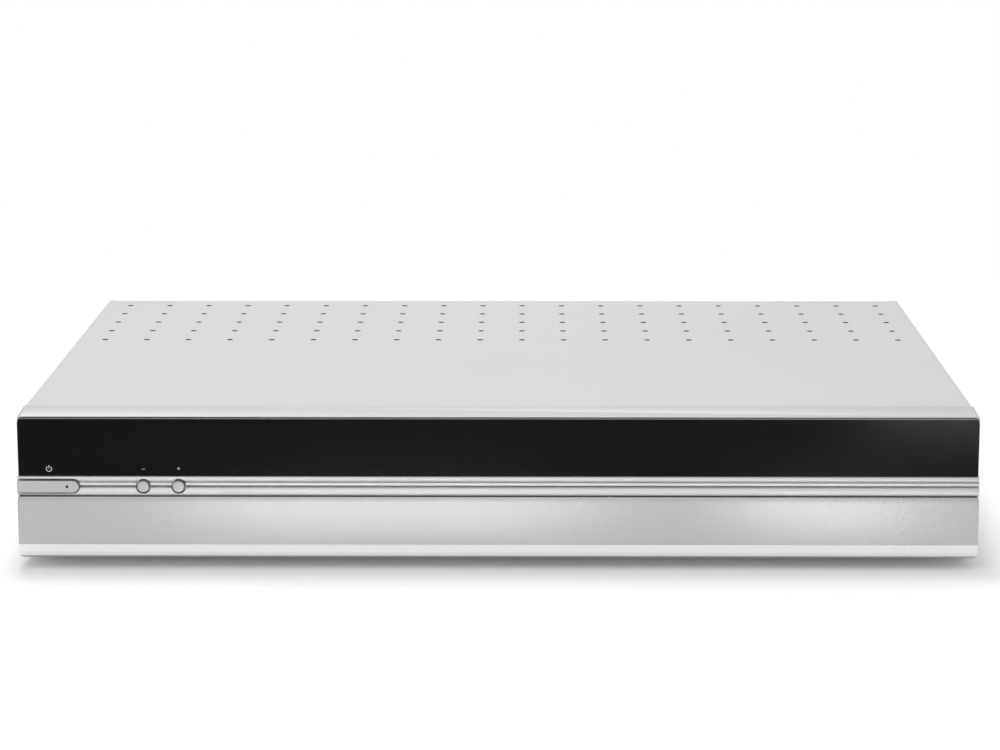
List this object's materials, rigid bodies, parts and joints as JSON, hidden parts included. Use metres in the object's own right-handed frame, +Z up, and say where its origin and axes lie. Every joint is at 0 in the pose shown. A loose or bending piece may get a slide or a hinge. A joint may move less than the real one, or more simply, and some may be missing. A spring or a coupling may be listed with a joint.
{
  "type": "satellite television receiver",
  "caption": "Full-width satellite receiver and disk recorder: smoked window over a silver panel, push keys, vented steel cover and rear sockets.",
  "frame": {"origin": "middle of the whole set, sockets and buttons included, on the surface that its feet stand on", "axes": "+X to the right seen from the front, +Y from the front towards the rear sockets, +Z up"},
  "size_m": [0.435, 0.3106, 0.072],
  "materials": {
    "silver_paint": "satin",
    "zinc_steel": "satin",
    "silver_plastic": "satin metallic paint",
    "smoked_window": "gloss",
    "clear_plastic": "gloss",
    "tube_glass": "gloss",
    "black_plastic": "matte",
    "circuit_board": "satin",
    "screw_steel": "satin",
    "soft_rubber": "matte",
    "white_plastic": "matte",
    "bare_aluminium": "satin",
    "tin_plate": "bright",
    "disk_mirror": "polished",
    "dark_ferrite": "matte",
    "filter_yellow": "matte",
    "ribbon_grey": "matte",
    "wire_red": "matte"
  },
  "bodies": {
    "set": {"aerial_nuts": "tin_plate", "aerial_sockets": "tin_plate", "board_plugs": "white_plastic", "board_screws": "screw_steel", "board_standoffs": "screw_steel", "card_reader": "black_plastic", "case_screws": "screw_steel", "chassis_tray": "zinc_steel", "clock_display": "tube_glass", "display_window": "smoked_window", "drive_bracket": "zinc_steel", "drive_grommets": "soft_rubber", "drive_screws": "screw_steel", "fan_frame": "black_plastic", "foot_screws": "screw_steel", "front_board": "circuit_board", "front_frame": "silver_plastic", "hard_drive_board": "circuit_board", "hard_drive_body": "bare_aluminium", "hard_drive_lid": "bare_aluminium", "hard_drive_magnet": "dark_ferrite", "indicator_lamps": "clear_plastic", "insulating_sheet": "white_plastic", "lower_panel": "silver_plastic", "main_board": "circuit_board", "main_board_capacitors": "black_plastic", "main_board_chips": "black_plastic", "mains_inlet": "black_plastic", "optical_socket": "black_plastic", "phone_socket": "black_plastic", "phono_sockets": "black_plastic", "power_board": "circuit_board", "power_capacitors": "black_plastic", "power_filter": "filter_yellow", "power_harness": "wire_red", "power_heat_sinks": "bare_aluminium", "processor_heat_sink": "bare_aluminium", "rear_panel": "zinc_steel", "remote_sensor": "black_plastic", "ribbon_cables": "ribbon_grey", "rubber_feet": "soft_rubber", "scart_sockets": "black_plastic", "serial_posts": "screw_steel", "serial_socket": "tin_plate", "switch_housings": "black_plastic", "top_cover": "silver_paint", "transformer": "dark_ferrite", "trim_strip": "silver_plastic", "tuner_cans": "tin_plate"},
    "standby_bar": {"standby_button": "silver_plastic", "standby_light_guide": "clear_plastic", "standby_plunger": "black_plastic"},
    "channel_down_key": {"channel_down_button": "silver_plastic", "channel_down_plunger": "black_plastic"},
    "channel_up_key": {"channel_up_button": "silver_plastic", "channel_up_plunger": "black_plastic"},
    "fan_wheel": {"fan_rotor": "black_plastic"},
    "disk": {"hard_drive_platter": "disk_mirror"},
    "head_arm": {"hard_drive_arm": "bare_aluminium"}
  },
  "joints": [
    {"name": "standby_press", "type": "slide", "parent": "set", "child": "standby_bar", "axis": [0, 1, 0], "range_m": [0, 0.0008], "stiffness_N_per_m": 500},
    {"name": "channel_down_press", "type": "slide", "parent": "set", "child": "channel_down_key", "axis": [0, 1, 0], "range_m": [0, 0.0008], "stiffness_N_per_m": 500},
    {"name": "channel_up_press", "type": "slide", "parent": "set", "child": "channel_up_key", "axis": [0, 1, 0], "range_m": [0, 0.0008], "stiffness_N_per_m": 500},
    {"name": "fan_spin", "type": "hinge", "parent": "set", "child": "fan_wheel", "pos_m": [-0.1, 0.13725, 0.0375], "axis": [0, 1, 0], "continuous": true},
    {"name": "disk_spin", "type": "hinge", "parent": "set", "child": "disk", "pos_m": [0.0108, -0.07275, 0.0296], "axis": [0, 0, 1], "continuous": true},
    {"name": "head_arm_swing", "type": "hinge", "parent": "set", "child": "head_arm", "pos_m": [0.02, -0.01975, 0.03], "axis": [0, 0, 1], "range_deg": [-25, 0]}
  ]
}
